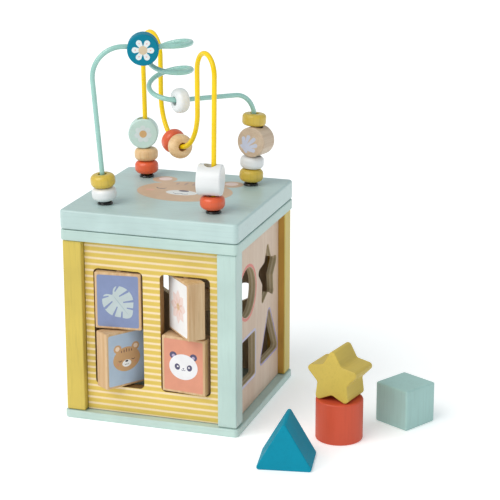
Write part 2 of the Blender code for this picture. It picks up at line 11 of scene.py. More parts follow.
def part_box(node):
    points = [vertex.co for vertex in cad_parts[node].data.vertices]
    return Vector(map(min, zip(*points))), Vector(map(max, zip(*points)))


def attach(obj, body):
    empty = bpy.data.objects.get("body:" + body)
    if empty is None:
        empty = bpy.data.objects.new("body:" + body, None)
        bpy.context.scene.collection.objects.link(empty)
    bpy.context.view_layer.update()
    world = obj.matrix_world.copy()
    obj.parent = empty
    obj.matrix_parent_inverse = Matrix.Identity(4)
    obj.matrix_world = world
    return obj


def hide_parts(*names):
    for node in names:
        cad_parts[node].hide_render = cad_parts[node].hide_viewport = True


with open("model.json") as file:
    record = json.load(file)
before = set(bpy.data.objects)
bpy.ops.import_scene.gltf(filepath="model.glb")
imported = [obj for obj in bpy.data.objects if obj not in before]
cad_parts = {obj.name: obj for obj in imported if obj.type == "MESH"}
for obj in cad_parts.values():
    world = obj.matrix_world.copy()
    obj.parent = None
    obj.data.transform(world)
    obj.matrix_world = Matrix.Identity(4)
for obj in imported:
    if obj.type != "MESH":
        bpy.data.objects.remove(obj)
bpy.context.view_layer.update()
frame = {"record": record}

MM = 0.001
BODY = {n: b for b, nodes in frame["record"]["behaviour"]["bodies"].items() for n in nodes}
CORNERS = ("front_left", "front_right", "back_left", "back_right")
MUSTARD_POSTS = ("front_left", "back_right")

# Sizes and places repeated from the model
WINDOW = (42 * MM, 99 * MM)
TILE = (38.5 * MM, 15 * MM, 47.5 * MM)
AXLE_HOLE_R = 3.4 * MM
TILE_ANGLES = {"tile_leaf": 6, "tile_bear": 55, "tile_flower": -46, "tile_panda": -6}
BEAD_D, BEAD_HOLE = 20 * MM, 7 * MM
DISC_D, DISC_HOLE, DISC_T, THICK_DISC_T = 25.1 * MM, 10.4 * MM, 15 * MM, 19.5 * MM
WIRE_D = 4 * MM
BOARD_CORNER = 4 * MM
RIM_OPENING = 118 * MM
LID_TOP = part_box("lid_board")[1].z

# Blocks, and the holes they drop through, in the frame of the right panel
HOLE_PLAY = 1.7 * MM
CYLINDER_R, CUBE = 19 * MM, 34 * MM
STAR_R, STAR_INNER, STAR_TIP_R, STAR_DEPTH = 25.8 * MM, 0.53, 3.1 * MM, 29 * MM
TRIANGLE_SIDE, TRIANGLE_DEPTH = 45.5 * MM, 36 * MM
CIRCLE_AT, STAR_AT = (-26.5 * MM, 106.7 * MM), (27.3 * MM, 106.5 * MM)
SQUARE_AT, TRIANGLE_AT = (-25.5 * MM, 49.3 * MM), (31.0 * MM, 47.5 * MM)
CUBE_TURN, PRISM_HEADING, STAR_HEADING = 61, 99.9, 78

# Wire routes: how far the feet stand from the middle along X and Y, the lean of each leg in degrees,
# and the heights above the lid
FOOT, NEAR_FOOT, SEAT = 46.5 * MM, 45.4 * MM, 12 * MM
LEANS = {("yellow", -1): 2.37, ("yellow", 1): 1.68, ("green", -1): 4.65, ("green", 1): 3.3}
ARCH_HEIGHT, SHOULDER_HEIGHT = 128.3 * MM, 77.3 * MM
COIL_AT, COIL_R = (-4.4 * MM, -6.0 * MM), 17.2 * MM
COIL_TOP, COIL_PITCH, COIL_TILT = 126.3 * MM, 22 * MM, 3.3 * MM

# Prints: the height of one layer of ink, and how far its edge reaches down into the face
INK_LAYER, INK_ROOT = 0.03 * MM, 0.1 * MM

CAMERA_AT, CAMERA_TARGET = Vector((0.4998, -1.3440, 0.5590)), Vector((0.0440, 0.0517, 0.1182))
CAMERA_LENS, CAMERA_ROLL = 129.94, -0.06


# ---------------- colours and materials

def srgb(red, green, blue):
    """Linear colour of an 8-bit sRGB one."""
    return tuple(c / 12.92 if c <= 0.04045 else ((c + 0.055) / 1.055) ** 2.4
                 for c in (red / 255, green / 255, blue / 255))


def tint(colour, factor):
    return tuple(min(1.0, c * factor) for c in colour)


class Look:
    """Node material of which each call adds one node."""

    def __init__(self, name):
        self.material = bpy.data.materials.new(name)
        self.material.use_nodes = True
        self.tree = self.material.node_tree
        self.shader = self.tree.nodes["Principled BSDF"]
        self.coords = self.tree.nodes.new("ShaderNodeTexCoord").outputs["Object"]

    def feed(self, socket, value):
        if isinstance(value, bpy.types.NodeSocket):
            self.tree.links.new(value, socket)
        elif hasattr(value, "__len__") and socket.type == "RGBA":
            socket.default_value = (*value, 1)
        else:
            socket.default_value = value

    def set(self, **values):
        for name, value in values.items():
            self.feed(self.shader.inputs[name.replace("_", " ")], value)

    def node(self, kind, inputs, output=0, **settings):
        made = self.tree.nodes.new("ShaderNode" + kind)
        for name, value in settings.items():
            setattr(made, name, value)
        for key, value in inputs.items():
            self.feed(made.inputs[key], value)
        return made.outputs[output]

    def sum(self, operation, a, b=0.0, clamp=False):
        return self.node("Math", {0: a, 1: b}, operation=operation, use_clamp=clamp)

    def stretched(self, stretch):
        return self.node("Mapping", {"Vector": self.coords, "Scale": stretch})

    def noise(self, scale, stretch=(1, 1, 1), detail=2.0, roughness=0.5, distortion=0.0):
        inputs = {"Vector": self.stretched(stretch), "Scale": scale, "Detail": detail,
                  "Roughness": roughness, "Distortion": distortion}
        return self.node("TexNoise", inputs)

    def spread(self, value, low, high, to_low=0.0, to_high=1.0):
        inputs = {"Value": value, "From Min": low, "From Max": high, "To Min": to_low, "To Max": to_high}
        return self.node("MapRange", inputs)

    def mix(self, factor, a, b):
        made = self.tree.nodes.new("ShaderNodeMix")
        made.data_type = "RGBA"
        self.feed(made.inputs[0], factor)
        self.feed(made.inputs[6], a)
        self.feed(made.inputs[7], b)
        return made.outputs[2]

    def axis(self, letter):
        return self.node("SeparateXYZ", {0: self.coords}, "XYZ".index(letter))

    def bump(self, height, strength, distance):
        inputs = {"Height": height, "Strength": strength, "Distance": distance}
        self.set(Normal=self.node("Bump", inputs))


def along(axis, amount):
    """Stretch that draws a texture out along one axis."""
    return tuple(amount if i == "XYZ".index(axis) else 1.0 for i in range(3))


def painted(name, colour, grain="Z", rough=0.42, streak=0.10, coat=0.15, shine=0.4):
    """Sprayed or dipped paint on wood: faint grain lines, clouding and orange peel."""
    look = Look(name)
    fibre = look.noise(520, along(grain, 0.05), 3.0, 0.6)
    cloud = look.noise(32, detail=3.0)
    base = look.mix(look.spread(cloud, 0.3, 0.7), tint(colour, 0.93), tint(colour, 1.05))
    lines = look.spread(fibre, 0.50, 0.72, 0, streak * 2.2)
    base = look.mix(lines, base, tint(colour, 0.70))
    peel = look.noise(1700, detail=1.0)
    look.set(Base_Color=base, Coat_Weight=coat, Coat_Roughness=0.25, Specular_IOR_Level=shine)
    look.set(Roughness=look.spread(cloud, 0.3, 0.7, rough - 0.05, rough + 0.07))
    look.bump(look.sum("ADD", look.sum("MULTIPLY", fibre, 0.7), look.sum("MULTIPLY", peel, 0.3)),
              0.25, 0.12 * MM)
    return look.material


def bare_wood(name, light, dark, grain="Z", scale=60, contrast=0.55, rough=0.5):
    """Lacquered wood with growth rings, fibres and pores drawn out along its grain."""
    look = Look(name)
    warp = look.noise(14, along(grain, 0.25), 2.0)
    rings = look.noise(scale, along(grain, 0.07), 2.5, 0.55, 1.2)
    fibre = look.noise(900, along(grain, 0.03), 3.0, 0.6)
    pores = look.noise(1500, along(grain, 0.06), 1.0)
    ringed = look.spread(rings, 0.36, 0.66, 0, contrast)
    share = look.sum("ADD", ringed, look.spread(fibre, 0.35, 0.75, 0, 0.32))
    share = look.sum("ADD", share, look.spread(warp, 0.3, 0.7, 0, 0.16), clamp=True)
    colour = look.mix(share, light, dark)
    colour = look.mix(look.spread(pores, 0.66, 0.74, 0, 0.35), colour, tint(dark, 0.62))
    look.set(Base_Color=colour, Roughness=look.spread(fibre, 0.3, 0.7, rough - 0.06, rough + 0.08))
    look.set(Specular_IOR_Level=0.35, Coat_Weight=0.08, Coat_Roughness=0.3)
    look.bump(look.sum("SUBTRACT", fibre, look.spread(pores, 0.66, 0.74)), 0.30, 0.10 * MM)
    return look.material


def ply_edge(name, layer_axis, pitch, light, dark):
    """Sawn plywood edge with its veneers in turn light and dark."""
    look = Look(name)
    place = look.sum("MULTIPLY", look.axis(layer_axis), 1 / pitch)
    wave = look.sum("PINGPONG", place, 1.0)
    fibre = look.noise(800, detail=3.0, roughness=0.6)
    worn = look.spread(fibre, 0.4, 0.8, -0.15, 0.25)
    share = look.sum("ADD", look.spread(wave, 0.40, 0.60), worn, clamp=True)
    look.set(Base_Color=look.mix(share, light, dark), Roughness=0.62, Specular_IOR_Level=0.25)
    look.bump(fibre, 0.4, 0.15 * MM)
    return look.material


def striped(name, ground, line, pitch, first, width):
    """Printed panel with fine level lines over wood grain; first is the height of one of them."""
    look = Look(name)
    level = look.sum("SUBTRACT", look.axis("Y"), first - pitch / 2)
    level = look.sum("DIVIDE", level, pitch)
    off = look.sum("ABSOLUTE", look.sum("SUBTRACT", look.sum("FRACT", level), 0.5))
    wobble = look.spread(look.noise(700, detail=2.0), 0.3, 0.7, -0.012, 0.012)
    off = look.sum("ADD", off, wobble)
    half = width / pitch / 2
    cream = look.spread(off, half + 0.07, half - 0.07)
    fibre = look.noise(620, along("X", 0.05), 3.0, 0.6)
    cloud = look.noise(26, detail=3.0)
    base = look.mix(look.spread(cloud, 0.3, 0.7), tint(ground, 0.92), tint(ground, 1.06))
    base = look.mix(look.spread(fibre, 0.50, 0.74, 0, 0.30), base, tint(ground, 0.66))
    cream_tone = look.mix(look.spread(fibre, 0.45, 0.75, 0, 0.35), line, tint(line, 0.80))
    look.set(Base_Color=look.mix(cream, base, cream_tone), Specular_IOR_Level=0.35)
    look.set(Roughness=look.spread(cream, 0, 1, 0.50, 0.58))
    look.bump(look.sum("SUBTRACT", look.sum("MULTIPLY", fibre, 0.6), look.sum("MULTIPLY", cream, 0.5)),
              0.30, 0.1 * MM)
    return look.material


def enamel(name, colour, coat=0.6):
    """Thick gloss coating on a bent wire."""
    look = Look(name)
    cloud = look.noise(60, detail=3.0)
    base = look.mix(look.spread(cloud, 0.3, 0.7), tint(colour, 0.93), tint(colour, 1.05))
    look.set(Base_Color=base, Coat_Weight=coat, Coat_Roughness=0.08, Specular_IOR_Level=0.25 + coat / 2)
    look.set(Roughness=look.spread(cloud, 0.3, 0.7, 0.20, 0.32))
    look.bump(look.noise(380, detail=2.0), 0.12, 0.2 * MM)
    return look.material


def plastic(name, colour):
    """Glossy moulded plastic."""
    look = Look(name)
    cloud = look.noise(220, detail=3.0)
    look.set(Base_Color=look.mix(look.spread(cloud, 0.3, 0.7), colour, tint(colour, 1.8)))
    look.set(Roughness=look.spread(cloud, 0.3, 0.7, 0.16, 0.30), Specular_IOR_Level=0.55)
    look.bump(look.noise(900, detail=1.0), 0.10, 0.1 * MM)
    return look.material


def plated(name):
    """Zinc plating with faint turning marks."""
    look = Look(name)
    turned = look.noise(1400, (1, 1, 0.1), 2.0)
    tone = look.mix(look.spread(turned, 0.3, 0.7), srgb(176, 178, 182), srgb(214, 214, 212))
    look.set(Base_Color=tone, Metallic=1.0, Roughness=look.spread(turned, 0.3, 0.7, 0.28, 0.46))
    look.bump(turned, 0.2, 0.05 * MM)
    return look.material


def ink(name, colour, grain="Z"):
    """Flat printed colour that lets a little of the wood grain through."""
    look = Look(name)
    fibre = look.noise(620, along(grain, 0.06), 3.0, 0.6)
    cloud = look.noise(90, detail=3.0)
    base = look.mix(look.spread(cloud, 0.3, 0.7), tint(colour, 0.95), tint(colour, 1.04))
    base = look.mix(look.spread(fibre, 0.55, 0.75, 0, 0.16), base, tint(colour, 0.75))
    look.set(Base_Color=base, Roughness=look.spread(fibre, 0.3, 0.7, 0.42, 0.55), Specular_IOR_Level=0.35)
    look.bump(fibre, 0.15, 0.06 * MM)
    return look.material


# ---------------- outlines

def posed(points, angle=0.0, centre=(0, 0)):
    """Outline turned about the origin, then moved to its centre."""
    c, s = cos(radians(angle)), sin(radians(angle))
    return [(centre[0] + x * c - y * s, centre[1] + x * s + y * c) for x, y in points]


def polar(radius, angle, centre=(0, 0)):
    """Point at a distance and an angle in degrees."""
    a = radians(angle)
    return centre[0] + radius * cos(a), centre[1] + radius * sin(a)


def quarter(steps):
    """Sine and cosine at equal steps through a quarter turn."""
    return [(sin(a), cos(a)) for a in (pi / 2 * i / steps for i in range(steps + 1))]


def circle(radius, steps=48, centre=(0, 0)):
    return [polar(radius, 360 * i / steps, centre) for i in range(steps)]


def oval(width, height, centre=(0, 0), lean=0.0, steps=32):
    """Ellipse turned by some degrees."""
    return posed([(x * width, y * height) for x, y in circle(0.5, steps)], lean, centre)


def petal(length, width, start, angle, point=1.0, steps=14):
    """Petal or leaflet from a distance out, along an angle; a lower point widens it near its root."""
    side = []
    for i in range(steps + 1):
        t = i / steps
        side.append((start + length * t, max(width / 2 * sin(pi * t ** point), 0)))
    return posed(side + [(x, -y) for x, y in reversed(side[1:-1])], angle)


def finger(reach, width, angle, start=0.0, centre=(0, 0), steps=10):
    """Petal with a round tip that narrows towards its root."""
    half = width / 2
    loop = [(start, 0.45 * half), (start, -0.45 * half)]
    loop += [polar(half, 180 * i / steps - 90, (reach - half, 0)) for i in range(steps + 1)]
    return posed(loop, angle, centre)


def arc_line(radius, start, end, width, centre=(0, 0), steps=10):
    """Thin stroke along an arc, in degrees, fullest at its middle."""
    outer, inner = [], []
    for i in range(steps + 1):
        angle = start + (end - start) * i / steps
        half = width / 2 * (0.35 + 0.65 * sin(pi * i / steps))
        outer.append(polar(radius + half, angle, centre))
        inner.append(polar(radius - half, angle, centre))
    return outer + inner[::-1]


def rounded(corners, radius, steps=6):
    """Closed outline whose corners, convex or concave, are replaced by arcs."""
    outline = []
    for i, corner in enumerate(corners):
        here = Vector(corner)
        back = (Vector(corners[i - 1]) - here).normalized()
        ahead = (Vector(corners[(i + 1) % len(corners)]) - here).normalized()
        half = back.angle(ahead) / 2
        centre = here + (back + ahead).normalized() * (radius / sin(half))
        start = here + back * (radius / tan(half)) - centre
        sweep = (pi - 2 * half) * (1 if back.cross(ahead) < 0 else -1)
        for k in range(steps + 1):
            outline.append(tuple(centre + Matrix.Rotation(sweep * k / steps, 2) @ start))
    return outline


def rectangle(width, height, centre=(0, 0)):
    x, y = width / 2, height / 2
    return [(centre[0] + sx * x, centre[1] + sy * y) for sx, sy in ((-1, -1), (1, -1), (1, 1), (-1, 1))]


def triangle(side):
    return [polar(side / sqrt(3), angle) for angle in (-150, -30, 90)]


def star_outline(clearance=0.0, steps=5):
    """Five points with round corners; the clearance is measured square to its sides."""
    tenth = radians(36)
    tip_angle = atan2(STAR_INNER * sin(tenth), 1 - STAR_INNER * cos(tenth))
    radius = STAR_R + clearance / sin(tip_angle)
    corners = [polar(radius if i % 2 == 0 else radius * STAR_INNER, 90 + 36 * i) for i in range(10)]
    return rounded(corners, STAR_TIP_R, steps)


def triangle_outline(clearance=0.0, corner=1.2 * MM, steps=6):
    return rounded(triangle(TRIANGLE_SIDE + 2 * sqrt(3) * clearance), corner + clearance, steps)


def arc_slot(radius, half_angle, width, centre, steps=32, end_steps=12):
    """Curved slot with round ends, along the foot of a circle; the angle is in degrees."""
    outline = []
    low, high = -90 - half_angle, -90 + half_angle
    for reach, a, b in ((radius + width / 2, low, high), (radius - width / 2, high, low)):
        outline += [polar(reach, a + (b - a) * i / steps) for i in range(steps + 1)]
        first = b if b == high else b + 180
        end = polar(radius, b)
        outline += [polar(width / 2, first + 180 * i / end_steps, end) for i in range(1, end_steps)]
    return posed(outline, 0, centre)


# ---------------- meshes

def new_object(name, data, place=Matrix.Identity(4)):
    data.name = name
    obj = bpy.data.objects.new(name, data)
    bpy.context.scene.collection.objects.link(obj)
    obj.matrix_world = place
    return obj


def mesh_of(bm):
    mesh = bpy.data.meshes.new("mesh")
    bm.to_mesh(mesh)
    bm.free()
    return mesh


def slab_mesh(outline, thickness):
    """Solid plate of one outline, centred on its plane."""
    bm = bmesh.new()
    face = bm.faces.new([bm.verts.new((x, y, -thickness / 2)) for x, y in outline])
    grown = bmesh.ops.extrude_face_region(bm, geom=[face])["geom"]
    top = [v for v in grown if isinstance(v, bmesh.types.BMVert)]
    bmesh.ops.translate(bm, verts=top, vec=(0, 0, thickness))
    bmesh.ops.recalc_face_normals(bm, faces=bm.faces)
    return mesh_of(bm)


def box_mesh(sides):
    bm = bmesh.new()
    bmesh.ops.create_cube(bm, size=1, matrix=Matrix.Diagonal((*sides, 1)))
    return mesh_of(bm)


def rod_mesh(radius, length, steps=48):
    return slab_mesh(circle(radius, steps), length)


def turned_mesh(profile, steps, closed=False):
    """Profile of distances and heights turned about Z; a closed one leaves a hole."""
    bm = bmesh.new()
    verts = [bm.verts.new((x, 0, z)) for x, z in profile]
    edges = [bm.edges.new(pair) for pair in zip(verts, verts[1:])]
    if closed:
        edges.append(bm.edges.new((verts[-1], verts[0])))
    bmesh.ops.spin(bm, geom=verts + edges, cent=(0, 0, 0), axis=(0, 0, 1), angle=2 * pi,
                   steps=steps, use_merge=True)
    bmesh.ops.remove_doubles(bm, verts=bm.verts, dist=0.002 * MM)
    bmesh.ops.recalc_face_normals(bm, faces=bm.faces)
    return mesh_of(bm)


def round_edges(obj, width, segments=4, limit=35):
    """Bevels the edges that are sharper than a limit in degrees."""
    bevel = obj.modifiers.new("round", "BEVEL")
    bevel.width = width
    bevel.segments = segments
    bevel.limit_method = "ANGLE"
    bevel.angle_limit = radians(limit)


def cut(obj, mesh, place):
    """Boolean difference; the cutter goes once the mesh is settled."""
    cutter = new_object("cutter", mesh, place)
    cutter.hide_render = True
    boolean = obj.modifiers.new("cut", "BOOLEAN")
    boolean.operation = "DIFFERENCE"
    boolean.object = cutter


def settle(obj, angle=38):
    """Applies the modifiers and shades the mesh smooth between sharp edges."""
    bpy.context.view_layer.update()
    evaluated = obj.evaluated_get(bpy.context.evaluated_depsgraph_get())
    mesh = bpy.data.meshes.new_from_object(evaluated)
    cutters = [m.object for m in obj.modifiers if m.type == "BOOLEAN"]
    obj.modifiers.clear()
    for cutter in cutters:
        bpy.data.objects.remove(cutter, do_unlink=True)
    if obj.type == "CURVE":
        name, place = obj.name, obj.matrix_world.copy()
        bpy.data.objects.remove(obj, do_unlink=True)
        obj = new_object(name, mesh, place)
    else:
        obj.data = mesh
    mesh.shade_smooth()
    mesh.set_sharp_from_angle(angle=radians(angle))
    weighted = obj.modifiers.new("normals", "WEIGHTED_NORMAL")
    weighted.keep_sharp = True
    return obj


def dress(obj, *materials, choose=None):
    """Gives an object its materials; choose says which one a polygon takes."""
    obj.data.materials.clear()
    for one in materials:
        obj.data.materials.append(one)
    if choose:
        for polygon in obj.data.polygons:
            polygon.material_index = choose(polygon)


def show(obj, node):
    """The piece stands for a CAD node and moves with its body."""
    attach(obj, BODY[node])
    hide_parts(node)
    return obj


def middle(node):
    low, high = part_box(node)
    return (low + high) / 2


def upright(node):
    return Matrix.Translation(middle(node))


def standing(node):
    """Frame below a node's middle, at the height of its foot."""
    at = middle(node)
    at.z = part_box(node)[0].z
    return Matrix.Translation(at)


def size(node):
    low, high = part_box(node)
    return high - low


def turn(angle, axis):
    return Matrix.Rotation(radians(angle), 4, axis)


def begin(node, mesh, place=None):
    """New piece for a CAD node, at the node's middle unless it has a place of its own."""
    return new_object("look_" + node, mesh, upright(node) if place is None else place)


def complete(obj, node, look, angle=38):
    """Dresses a piece in a single look, settles it and ties it to its node."""
    dress(obj, LOOKS[look])
    show(settle(obj, angle), node)


def local_frame(x_axis, y_axis, at):
    x_axis = Vector(x_axis).normalized()
    z_axis = x_axis.cross(Vector(y_axis)).normalized()
    axes = Matrix((x_axis, z_axis.cross(x_axis), z_axis)).transposed()
    return Matrix.Translation(at) @ axes.to_4x4()


class Print:
    """Thin layers of ink on a flat face, in the frame of that face, as one mesh."""

    def __init__(self):
        self.bm = bmesh.new()
        self.inks = []

    def index(self, material):
        if material not in self.inks:
            self.inks.append(material)
        return self.inks.index(material)

    def loop(self, outline, height):
        return [self.bm.verts.new((x, y, height)) for x, y in outline]

    def band(self, a, b, index):
        for i in range(len(a)):
            j = (i + 1) % len(a)
            self.bm.faces.new((a[i], a[j], b[j], b[i])).material_index = index

    def wall(self, outline, loop, index):
        self.band(self.loop(outline, -INK_ROOT), loop, index)

    def layer(self, outline, level, material):
        """Filled outline, as many layers of ink proud of the face as its level says."""
        index = self.index(material)
        loop = self.loop(outline, level * INK_LAYER)
        self.bm.faces.new(loop).material_index = index
        self.wall(outline, loop, index)

    def dot(self, width, height, at, level, material, lean=0.0, steps=32):
        """Filled ellipse, measured in millimetres."""
        centre = (at[0] * MM, at[1] * MM)
        self.layer(oval(width * MM, height * MM, centre, lean, steps), level, material)

    def stroke(self, radius, start, end, width, at, level, material):
        """Thin arc, measured in millimetres and degrees."""
        centre = (at[0] * MM, at[1] * MM)
        self.layer(arc_line(radius * MM, start, end, width * MM, centre), level, material)

    def ring(self, outer, inner, level, material):
        index = self.index(material)
        a, b = self.loop(outer, level * INK_LAYER), self.loop(inner, level * INK_LAYER)
        self.band(a, b, index)
        self.wall(outer, a, index)
        self.wall(inner, b, index)

    def place(self, name, matrix, body):
        bmesh.ops.recalc_face_normals(self.bm, faces=self.bm.faces)
        bmesh.ops.triangulate(self.bm, faces=self.bm.faces)
        mesh = mesh_of(self.bm)
        for one in self.inks:
            mesh.materials.append(one)
        obj = new_object(name, mesh, matrix)
        for polygon in mesh.polygons:
            if polygon.normal.z < -0.5:
                polygon.flip()
        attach(obj, body)


# ---------------- the materials of this toy

MINT = srgb(184, 207, 200)
MUSTARD = srgb(208, 183, 83)
LOOKS = {}

# Material's name, colour, grain and, where they aren't the usual ones, roughness, streaks, coat and shine
PAINTS = {
    "base": ("base_paint", MINT, "X"),
    "rim": ("rim_paint", MINT, "X"),
    "lid": ("lid_paint", srgb(184, 206, 203), "X", 0.36, 0.14, 0.25),
    "post_mint": ("post_mint", MINT, "Z"),
    "post_mustard": ("post_mustard", MUSTARD, "Z", 0.48, 0.20),
    # Darker mustard: painted shade on the back-right post's sides towards the front, in the recess beside the
    # right panel
    "post_recess": ("post_recess", srgb(198, 148, 60), "Z", 0.5, 0.25),
    "white": ("white_paint", srgb(232, 232, 232), "Z", 0.36, 0.04, 0.35),
    "coral": ("coral_paint", srgb(228, 94, 50), "Z", 0.36, 0.14, 0.45),
    "coral_block": ("coral_block", srgb(205, 79, 49), "Z", 0.50, 0.10, 0.05),
    "ochre": ("ochre_paint", srgb(212, 180, 66), "Z", 0.36, 0.22, 0.45),
    "ochre_block": ("ochre_block", srgb(203, 176, 77), "Z", 0.48, 0.12, 0.08),
    "blue": ("blue_paint", srgb(0, 126, 152), "Z", 0.5, 0.06, 0.0, 0.15),
    "teal": ("teal_paint", srgb(0, 137, 163), "Z", 0.6, 0.08, 0.0, 0.15),
    "mint_disc": ("mint_disc", srgb(202, 226, 218), "Z", 0.42, 0.06, 0.15),
    "mint_block": ("mint_block", srgb(162, 197, 192), "Z", 0.50, 0.12, 0.05),
}

# Material's name, light and dark tone, grain, scale of the rings, contrast and, if unusual, roughness
WOODS = {
    "panel_wood": ("panel_wood", srgb(224, 202, 182), srgb(205, 174, 150), "Y", 45, 0.45),
    # Sawn wood darkened to paint the shade on the front panel's edges and window walls
    "window_edge_painted_shade": ("window_edge_painted_shade", srgb(156, 116, 64), srgb(110, 76, 38), "Y", 80, 0.5),
    "inner_wood": ("inner_wood", srgb(206, 182, 150), srgb(176, 146, 110), "Y", 45, 0.5),
    "wood": ("bead_wood", srgb(245, 211, 166), srgb(221, 177, 124), "Z", 110, 0.6, 0.42),
    "wood_disc": ("disc_wood", srgb(214, 192, 168), srgb(190, 163, 136), "Z", 110, 0.5, 0.42),
    "tile_wood": ("tile_wood", srgb(219, 188, 149), srgb(192, 151, 106), "Z", 130, 0.6, 0.5),
    "axle_wood": ("axle_wood", srgb(222, 190, 146), srgb(190, 146, 98), "Z", 200, 0.5),
}


def make_looks():
    LOOKS.update({key: painted(*values) for key, values in PAINTS.items()})
    LOOKS.update({key: bare_wood(*values) for key, values in WOODS.items()})
    LOOKS["stripes"] = striped("stripe_panel", srgb(218, 188, 90), srgb(240, 217, 178),
                               pitch=5.19 * MM, first=12.5 * MM, width=1.75 * MM)
    LOOKS["panel_edge"] = ply_edge("panel_edge", "Z", 1.5 * MM, srgb(216, 198, 166), srgb(192, 170, 134))
    LOOKS["yellow"] = enamel("yellow_enamel", srgb(246, 206, 0), 0.1)
    LOOKS["green"] = enamel("green_enamel", srgb(153, 201, 190))
    LOOKS["black"] = plastic("black_plastic", (0.006, 0.006, 0.006))
    LOOKS["steel"] = plated("zinc_plate")


# ---------------- box

def plate(node, rounding, segments=4):
    """Square board with round corners."""
    outline = rounded(rectangle(size(node).x, size(node).y), BOARD_CORNER, 8)
    board = begin(node, slab_mesh(outline, size(node).z))
    round_edges(board, rounding, segments)
    return board


def build_base():
    base = plate("base_plate", 1 * MM)
    countersink = [(0, 12 * MM), (2.1 * MM, 12 * MM), (2.1 * MM, 3.5 * MM), (4.3 * MM, 1.5 * MM),
                   (4.3 * MM, -1 * MM), (0, -1 * MM)]
    for name in CORNERS:
        at = middle("base_screw_" + name)
        cut(base, turned_mesh(countersink, 32), Matrix.Translation((at.x, at.y, 0)))
    complete(base, "base_plate", "base")


def build_screws():
    """Countersunk screws with a cross recess."""
    for name in CORNERS:
        node = "base_screw_" + name
        top = size(node).z
        thread = []
        down = 3.6 * MM
        while down < top - 2.4 * MM:
            thread += [(1.8 * MM, top - down + 0.35 * MM), (1.35 * MM, top - down)]
            down += 0.9 * MM
        profile = [(0, top), (0.5 * MM, top - 0.6 * MM), (1.3 * MM, top - 2.6 * MM)] + thread
        profile = [p for p in profile if p[1] > 3.1 * MM or p[0] == 0]
        profile += [(1.8 * MM, 3.0 * MM), (3.9 * MM, 0.9 * MM), (4.0 * MM, 0.6 * MM), (3.8 * MM, 0.0), (0, 0)]
        screw = begin(node, turned_mesh(profile, 40), standing(node))
        recess = standing(node) @ Matrix.Translation((0, 0, 0.5 * MM))
        for angle in (0, 90):
            cut(screw, box_mesh((4.4 * MM, 0.9 * MM, 2.2 * MM)), recess @ turn(angle, "Z"))
        complete(screw, node, "steel", 30)


def build_frame_pieces():
    rim = plate("top_rim", 1 * MM)
    opening = rounded(rectangle(RIM_OPENING, RIM_OPENING), 2 * MM)
    cut(rim, slab_mesh(opening, 20 * MM), upright("top_rim"))
    complete(rim, "top_rim", "rim")
    for name in CORNERS:
        node = "post_" + name
        post = begin(node, box_mesh(size(node)))
        round_edges(post, 1.2 * MM)
        post = settle(post)
        looks = [LOOKS["post_mustard" if name in MUSTARD_POSTS else "post_mint"]]
        # The back-right post's faces towards the front take the darker mustard, which paints the shade of the
        # recess
        if name == "back_right":
            looks.append(LOOKS["post_recess"])
        dress(post, *looks, choose=lambda polygon: int(len(looks) > 1 and polygon.normal.y < -0.9))
        show(post, node)


def panel_frame(node):
    """Frame of a panel's outline: local X and Y in the panel's plane, and Z to the outside."""
    at = middle(node)
    at.z = 0
    if "left" in node or "right" in node:
        side = 1 if "right" in node else -1
        return local_frame((0, side, 0), (0, 0, 1), at)
    side = -1 if "front" in node else 1
    return local_frame((-side, 0, 0), (0, 0, 1), at)


def panel(node, outer, edge, holes=(), rounding=0.35 * MM):
    """Upright board with holes, dressed in one look outside, one on its edges and bare wood inside."""
    low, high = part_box(node)
    width, depth = max(size(node).xy), min(size(node).xy)
    outline = rectangle(width, high.z - low.z, (0, (low.z + high.z) / 2))
    board = begin(node, slab_mesh(outline, depth), panel_frame(node))
    for hole in holes:
        cut(board, slab_mesh(hole, depth * 3), panel_frame(node))
    bpy.context.view_layer.update()
    round_edges(board, rounding, 2, 60)
    board = settle(board)
    dress(board, LOOKS[outer], LOOKS[edge], LOOKS["inner_wood"], choose=facing)
    show(board, node)


def facing(polygon, limit=0.7):
    """Material 0 for the outer face, 1 for edges and the walls of holes, and 2 for the inner face."""
    out = polygon.normal.z
    return 0 if out > limit else 2 if out < -limit else 1


def build_panels():
    at = panel_frame("front_panel").inverted()
    windows = []
    for node in ("axle_left", "axle_right"):
        centre = at @ middle(node)
        windows.append(rounded(rectangle(*WINDOW, (centre.x, centre.y)), 4 * MM, 10))
    slot = arc_slot(radius=66 * MM, half_angle=34, width=14 * MM, centre=(0, 133 * MM))
    # The front panel's edges and window walls take the darkened wood: painted shade inside the windows
    panel("front_panel", "stripes", "window_edge_painted_shade", windows, 0.5 * MM)
    panel("left_panel", "stripes", "panel_edge")
    panel("right_panel", "panel_wood", "panel_edge", [hole for hole, _ in sorter_holes()])
    panel("back_panel", "panel_wood", "panel_edge", [slot])


def sorter_holes():
    """Outlines of the four shaped holes and of the printed line round each, or None."""
    round_hole, square = CYLINDER_R + HOLE_PLAY, CUBE + 2 * HOLE_PLAY
    return [
        (circle(round_hole, 64, CIRCLE_AT), circle(round_hole + 2.9 * MM, 64, CIRCLE_AT)),
        (posed(star_outline(HOLE_PLAY), 0, STAR_AT), None),
        (rounded(rectangle(square, square, SQUARE_AT), 2 * MM),
         rounded(rectangle(square + 5 * MM, square + 5 * MM, SQUARE_AT), 4.5 * MM)),
        (posed(triangle_outline(HOLE_PLAY), 0, TRIANGLE_AT),
         posed(triangle_outline(HOLE_PLAY + 1.5 * MM), 0, TRIANGLE_AT)),
    ]


